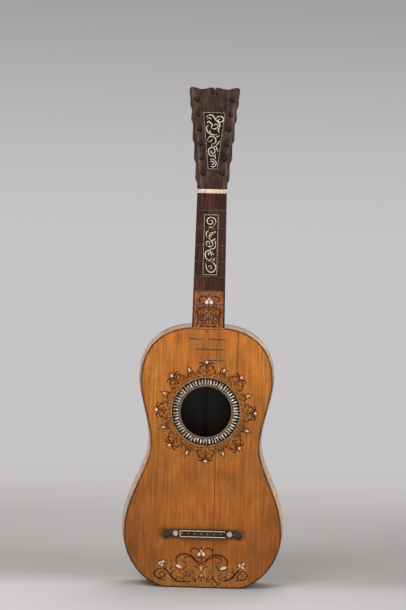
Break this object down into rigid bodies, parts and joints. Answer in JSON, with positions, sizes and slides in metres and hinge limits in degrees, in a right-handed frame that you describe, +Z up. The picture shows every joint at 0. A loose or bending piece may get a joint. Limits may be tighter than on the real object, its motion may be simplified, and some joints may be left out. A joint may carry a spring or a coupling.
{
  "type": "twelve-string romantic guitar",
  "caption": "Small waisted guitar with a flush fretted fingerboard, inlaid sound hole, tie bridge and a scalloped flat head with rear tuning pegs that turn.",
  "frame": {"origin": "middle of the flat tail face that the guitar stands on", "axes": "+Z up along the neck, -Y out of the soundboard, +X to the right seen from the front"},
  "size_m": [0.276, 0.097, 0.8742],
  "materials": {
    "spruce": "amber varnish, satin",
    "rib_maple": "satin varnish",
    "back_maple": "satin varnish",
    "rosewood_edge": "satin",
    "pale_line": "satin",
    "pearl_tiles": "polished pearl tiles in black mastic",
    "ebony": "satin",
    "inlay_field": "dark field with bone curls",
    "bone": "satin",
    "pearl": "polished",
    "rosewood": "oiled",
    "head_rosewood": "worn satin",
    "neck_cedar": "satin varnish",
    "inner_pine": "bare",
    "fret_metal": "worn",
    "peg_wood": "satin"
  },
  "bodies": {
    "guitar": {"soundboard": "spruce", "neck_panel": "spruce", "rib_left": "rib_maple", "rib_right": "rib_maple", "back_left": "back_maple", "back_right": "back_maple", "back_strip": "rosewood_edge", "tail_strip": "rosewood_edge", "binding_back": "rosewood_edge", "binding_front": "rosewood_edge", "heel_cap": "rosewood_edge", "rosette_inner_ring": "pale_line", "rosette_outer_ring": "pale_line", "rosette_tiles": "pearl_tiles", "bridge": "ebony", "neck_edge_left": "ebony", "neck_edge_right": "ebony", "fingerboard_panel_field": "inlay_field", "head_panel_field": "inlay_field", "fingerboard_panel_frame": "bone", "head_panel_frame": "bone", "bridge_bone_line": "bone", "nut": "bone", "bridge_roundel_left": "pearl", "bridge_roundel_right": "pearl", "fingerboard": "rosewood", "head_veneer": "head_rosewood", "head_core": "neck_cedar", "neck": "neck_cedar", "tail_block": "inner_pine", "neck_block": "inner_pine", "soundboard_bar_upper": "inner_pine", "soundboard_bar_lower": "inner_pine", "back_bar_1": "inner_pine", "back_bar_2": "inner_pine", "back_bar_3": "inner_pine", "lining_front_left": "inner_pine", "lining_front_right": "inner_pine", "lining_back_left": "inner_pine", "lining_back_right": "inner_pine", "fret_1": "fret_metal", "fret_2": "fret_metal", "fret_3": "fret_metal", "fret_4": "fret_metal", "fret_5": "fret_metal", "fret_6": "fret_metal", "fret_7": "fret_metal", "fret_8": "fret_metal"},
    "peg_01": {"peg_01": "peg_wood"},
    "peg_02": {"peg_02": "peg_wood"},
    "peg_03": {"peg_03": "peg_wood"},
    "peg_04": {"peg_04": "peg_wood"},
    "peg_05": {"peg_05": "peg_wood"},
    "peg_06": {"peg_06": "peg_wood"},
    "peg_07": {"peg_07": "peg_wood"},
    "peg_08": {"peg_08": "peg_wood"},
    "peg_09": {"peg_09": "peg_wood"},
    "peg_10": {"peg_10": "peg_wood"},
    "peg_11": {"peg_11": "peg_wood"},
    "peg_12": {"peg_12": "peg_wood"}
  },
  "joints": [
    {"name": "peg_01_turn", "type": "hinge", "parent": "guitar", "child": "peg_01", "pos_m": [-0.0164, -0.03912, 0.72648], "axis": [0, -0.9848, 0.1736], "continuous": true},
    {"name": "peg_02_turn", "type": "hinge", "parent": "guitar", "child": "peg_02", "pos_m": [-0.01938, -0.03466, 0.75179], "axis": [0, -0.9848, 0.1736], "continuous": true},
    {"name": "peg_03_turn", "type": "hinge", "parent": "guitar", "child": "peg_03", "pos_m": [-0.02236, -0.03019, 0.7771], "axis": [0, -0.9848, 0.1736], "continuous": true},
    {"name": "peg_04_turn", "type": "hinge", "parent": "guitar", "child": "peg_04", "pos_m": [-0.02534, -0.02573, 0.80241], "axis": [0, -0.9848, 0.1736], "continuous": true},
    {"name": "peg_05_turn", "type": "hinge", "parent": "guitar", "child": "peg_05", "pos_m": [-0.02832, -0.02127, 0.82772], "axis": [0, -0.9848, 0.1736], "continuous": true},
    {"name": "peg_06_turn", "type": "hinge", "parent": "guitar", "child": "peg_06", "pos_m": [-0.0313, -0.01681, 0.85303], "axis": [0, -0.9848, 0.1736], "continuous": true},
    {"name": "peg_07_turn", "type": "hinge", "parent": "guitar", "child": "peg_07", "pos_m": [0.0164, -0.03912, 0.72648], "axis": [0, -0.9848, 0.1736], "continuous": true},
    {"name": "peg_08_turn", "type": "hinge", "parent": "guitar", "child": "peg_08", "pos_m": [0.01938, -0.03466, 0.75179], "axis": [0, -0.9848, 0.1736], "continuous": true},
    {"name": "peg_09_turn", "type": "hinge", "parent": "guitar", "child": "peg_09", "pos_m": [0.02236, -0.03019, 0.7771], "axis": [0, -0.9848, 0.1736], "continuous": true},
    {"name": "peg_10_turn", "type": "hinge", "parent": "guitar", "child": "peg_10", "pos_m": [0.02534, -0.02573, 0.80241], "axis": [0, -0.9848, 0.1736], "continuous": true},
    {"name": "peg_11_turn", "type": "hinge", "parent": "guitar", "child": "peg_11", "pos_m": [0.02832, -0.02127, 0.82772], "axis": [0, -0.9848, 0.1736], "continuous": true},
    {"name": "peg_12_turn", "type": "hinge", "parent": "guitar", "child": "peg_12", "pos_m": [0.0313, -0.01681, 0.85303], "axis": [0, -0.9848, 0.1736], "continuous": true}
  ]
}
